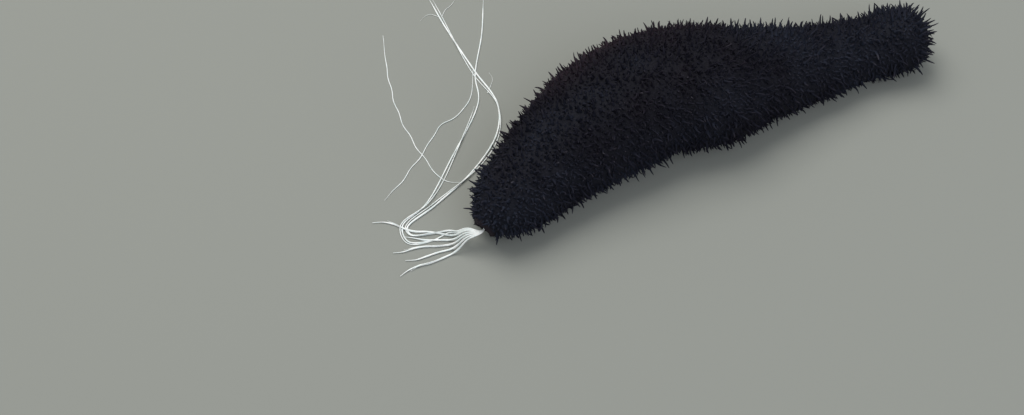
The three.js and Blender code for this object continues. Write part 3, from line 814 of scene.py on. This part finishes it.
routes = []
for i, reach in enumerate(FAN_REACHES):
    at, points = drop(FAN_TURN + FAN_WIDTH * (i / (len(FAN_REACHES) - 1) - 0.5))
    for out in np.arange(THREAD_DROP + THREAD_STEP, reach, THREAD_STEP):
        grown = smooth(THREAD_DROP, THREAD_DROP + WAVE_FROM, out)
        wave = math.sin(2 * math.pi * out / WAVE_LENGTH + WAVE_SHIFT * i)
        points.append(at(out, WAVE_HEIGHT * grown * wave, THREAD_REST))
    routes.append(through_points(points))
for i, trail in enumerate(TRAILS):
    _, points = drop(FAN_TURN - FAN_WIDTH * (TRAIL_TURN - TRAIL_GAP * i))
    routes.append(through_points([*points, *((x, y, THREAD_REST) for x, y in trail)]))

SPAN = 0.8  # length of one step along a strand
LIE = 1.2  # how high a strand's middle lies on the floor, in its own radii
SETTLED = 5  # a strand counts as off the floor from this height above the routes
HELD, HELD_TO, FREE_AT = 0.15, 12, 40  # how little it swings in the sheaf, and the lengths where that ends
DROOP = 0.3  # how much it swings up and down off the floor, as a share of its swing aside
THIN_ROOT, ROOT_FROM, ROOT_TO = 0.6, 8, 22  # its thickness in the sheaf, and the lengths over which it fills
THIN_TIP, TIP_LENGTH = 0.3, 14  # its thickness at the very end, and the length over which it thins
strand_points, strand_edges, strand_thickness = [], [], []


def lay_strand(route, radius, aside=0.0, wave=24.0, phase=0.0, over=0.0):
    """Adds a strand along a route, swinging to both sides of it and passing over what lies on the route."""
    lengths = np.concatenate([[0], np.cumsum(np.linalg.norm(np.diff(route, axis=0), axis=1))])
    s = np.arange(0, lengths[-1], SPAN)
    line = np.stack([np.interp(s, lengths, route[:, axis]) for axis in range(3)], 1)
    along = np.gradient(line, axis=0)
    along[:, 2] = 0
    along /= np.linalg.norm(along, axis=1)[:, None]
    swing = 2 * math.pi * s / wave + phase
    loose = HELD + (1 - HELD) * smooth(HELD_TO, FREE_AT, s)
    line[:, 0] -= along[:, 1] * aside * loose * np.sin(swing)
    line[:, 1] += along[:, 0] * aside * loose * np.sin(swing)
    on_floor = 1 - smooth(0, SETTLED, line[:, 2] - THREAD_REST)
    hump = over * (1 + np.cos(2 * swing)) / 2
    line[:, 2] += on_floor * (LIE * radius + hump - THREAD_REST)
    line[:, 2] += (1 - on_floor) * aside * DROOP * np.cos(swing)
    line[:, 2] = np.maximum(line[:, 2], LIE * radius)
    first = len(strand_points)
    strand_points.extend(line * MM)
    strand_edges.extend((first + n, first + n + 1) for n in range(len(line) - 1))
    root = THIN_ROOT + (1 - THIN_ROOT) * smooth(ROOT_FROM, ROOT_TO, s)
    tip = 1 - (1 - THIN_TIP) * smooth(s[-1] - TIP_LENGTH, s[-1], s)
    strand_thickness.extend(radius * MM * root * tip)


def part_of(route, start, end):
    """The stretch of a route between two shares of its points."""
    return route[int(len(route) * start):int(len(route) * end)]


# Every other strand of the fan, and both trails, have a finer one that winds about them.
FAN_RADIUS, LONE_RADIUS = 0.52, 0.27
WINDING = {"radius": 0.26, "aside": 1.7, "over": 1.0}
for i, route in enumerate(routes[:len(FAN_REACHES)]):
    lay_strand(route, FAN_RADIUS)
    if i % 2 == 0:
        lay_strand(part_of(route, 0.4, 0.9), wave=58, phase=1.1 * i, **WINDING)
for route, radius, end, phase in zip(routes[len(FAN_REACHES):], (0.48, 0.38), (1.0, 0.78), (5.5, 6.6)):
    lay_strand(route, radius)
    lay_strand(part_of(route, 0.28, end), wave=110, phase=phase, **WINDING)
for i, strand in enumerate(FINE_STRANDS):
    route = through_points([(x, y, THREAD_REST) for x, y in strand])
    lay_strand(route, LONE_RADIUS, aside=0.4, wave=17, phase=i)

paths = bpy.data.meshes.new("thread_paths")
paths.from_pydata([tuple(p) for p in strand_points], strand_edges, [])
set_values(paths, "thickness", strand_thickness)


def thread_tree():
    """Draws a closed tube along each path, thicker and thinner at random as stretched glue is."""
    tree, sockets, given = new_tree("threads", (
        ("Paths", "Geometry"), ("Material", "Material"), ("Sides", "Int"), ("Unevenness", "Float"),
        ("Bead", "Float"),
    ))
    curves = add(tree, "GeometryNodeMeshToCurve", {0: given["Paths"]})
    place = add(tree, "GeometryNodeInputPosition")
    often = add(tree, "ShaderNodeMath", {0: 1.0, 1: given["Bead"]}, operation="DIVIDE")
    beads = add(tree, "ShaderNodeTexNoise", {"Vector": place, "Scale": often})
    least = add(tree, "ShaderNodeMath", {0: 1.0, 1: given["Unevenness"]}, operation="SUBTRACT")
    most = add(tree, "ShaderNodeMath", {0: 1.0, 1: given["Unevenness"]}, operation="ADD")
    swollen = add(tree, "ShaderNodeMapRange", {"Value": beads, "From Min": 0.3, "From Max": 0.7,
                                               "To Min": least, "To Max": most})
    thickness = add(tree, "GeometryNodeInputNamedAttribute", {"Name": "thickness"}, data_type="FLOAT")
    radius = add(tree, "ShaderNodeMath", {0: thickness, 1: swollen}, operation="MULTIPLY")
    circle = add(tree, "GeometryNodeCurvePrimitiveCircle", {"Resolution": given["Sides"], "Radius": 1.0},
                 mode="RADIUS")
    tubes = add(tree, "GeometryNodeCurveToMesh", {0: curves, 1: circle, "Scale": radius, "Fill Caps": True})
    whole = add(tree, "GeometryNodeRealizeInstances", {0: tubes})
    done = add(tree, "GeometryNodeSetMaterial", {0: whole, "Material": given["Material"]})
    add(tree, "NodeGroupOutput", {0: done})
    return tree, sockets


# Wet collagen tubules: milky white with a cold tint, satin from the water on them, with a little light
# passing through.
def wet_tubule():
    material, tree = new_material("wet_white_tubule")
    place = add(tree, "ShaderNodeTexCoord").outputs["Object"]
    cloud = add(tree, "ShaderNodeTexNoise", {"Vector": place, "Scale": 1 / (6 * MM), "Detail": 3.0})
    tone = add(tree, "ShaderNodeValToRGB", {"Fac": cloud}, stops=((0.3, "#dde5e5"), (0.6, "#fafefe")))
    grain = add(tree, "ShaderNodeTexNoise", {"Vector": place, "Scale": 1 / (0.5 * MM)})
    bump = add(tree, "ShaderNodeBump", {"Strength": 0.5, "Distance": 0.2 * MM, "Height": grain})
    shader = add(tree, "ShaderNodeBsdfPrincipled", {
        "Base Color": tone, "Roughness": 0.38, "Normal": bump, "IOR": 1.38,
        "Subsurface Weight": 0.25, "Subsurface Radius": (0.6, 0.7, 0.7), "Subsurface Scale": 1.0 * MM,
    })
    add(tree, "ShaderNodeOutputMaterial", {"Surface": shader})
    return material


drawing, drawing_sockets = thread_tree()
threads = made_by(drawing, drawing_sockets, paths, "sticky_threads_bundles", {
    "Material": wet_tubule(), "Sides": 10, "Unevenness": 0.16, "Bead": 3.5 * MM,
})
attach(threads, "root")
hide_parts("sticky_threads")


# The camera, the floor and the lights
# The camera looks steeply down on the animal from its right, near the tail. A broad soft light high behind it
# throws its shadow towards the camera, and a weaker one in front and a pale sky light the rest.
TARGET = Vector((-119.1, -7.1, 0)) * MM
DISTANCE = 768 * MM
ELEVATION, AZIMUTH = math.radians(60), math.radians(-26)
toward = Vector((-math.sin(AZIMUTH) * math.cos(ELEVATION), math.cos(AZIMUTH) * math.cos(ELEVATION),
                 -math.sin(ELEVATION)))
camera_data = bpy.data.cameras.new("camera")
camera_data.lens, camera_data.sensor_width = 50, 36
camera = bpy.data.objects.new("camera", camera_data)
camera.location = TARGET - toward * DISTANCE
camera.rotation_euler = toward.to_track_quat("-Z", "Y").to_euler()
bpy.context.collection.objects.link(camera)
bpy.context.scene.camera = camera

FLOOR = 3.0  # half the floor's width, in metres
corners = [(-FLOOR, -FLOOR, 0), (FLOOR, -FLOOR, 0), (FLOOR, FLOOR, 0), (-FLOOR, FLOOR, 0)]
floor = bpy.data.objects.new("floor", new_mesh("floor", corners, [(0, 1, 2, 3)]))
bpy.context.collection.objects.link(floor)


# Matte painted board: pale grey with a slight green cast and no gloss.
def painted_board():
    material, tree = new_material("pale_painted_board")
    shader = add(tree, "ShaderNodeBsdfPrincipled", {
        "Base Color": linear("#90928d"), "Roughness": 0.9, "Specular IOR Level": 0.1,
    })
    add(tree, "ShaderNodeOutputMaterial", {"Surface": shader})
    return material


floor.data.materials.append(painted_board())
floor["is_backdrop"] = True

for name, place, size, power, colour in (
    ("key", (-0.25, 1.0, 1.9), 1.5, 38, "#fffdf8"),
    ("fill", (0.4, -1.3, 1.2), 1.8, 12, "#eef4ff"),
):
    data = bpy.data.lights.new(name, "AREA")
    data.size, data.energy, data.color = size, power, linear(colour)[:3]
    light = bpy.data.objects.new(name, data)
    light.location = place
    light.rotation_euler = (-Vector(place)).to_track_quat("-Z", "Y").to_euler()
    bpy.context.collection.objects.link(light)
world = bpy.data.worlds.new("sky")
bpy.context.scene.world = world
world.use_nodes = True
world.node_tree.nodes["Background"].inputs["Color"].default_value = linear("#d6dada")
world.node_tree.nodes["Background"].inputs["Strength"].default_value = 0.52
bpy.context.scene.view_settings.view_transform = "Standard"

[[list(corner) for corner in box] for box in (cad_box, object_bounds())]
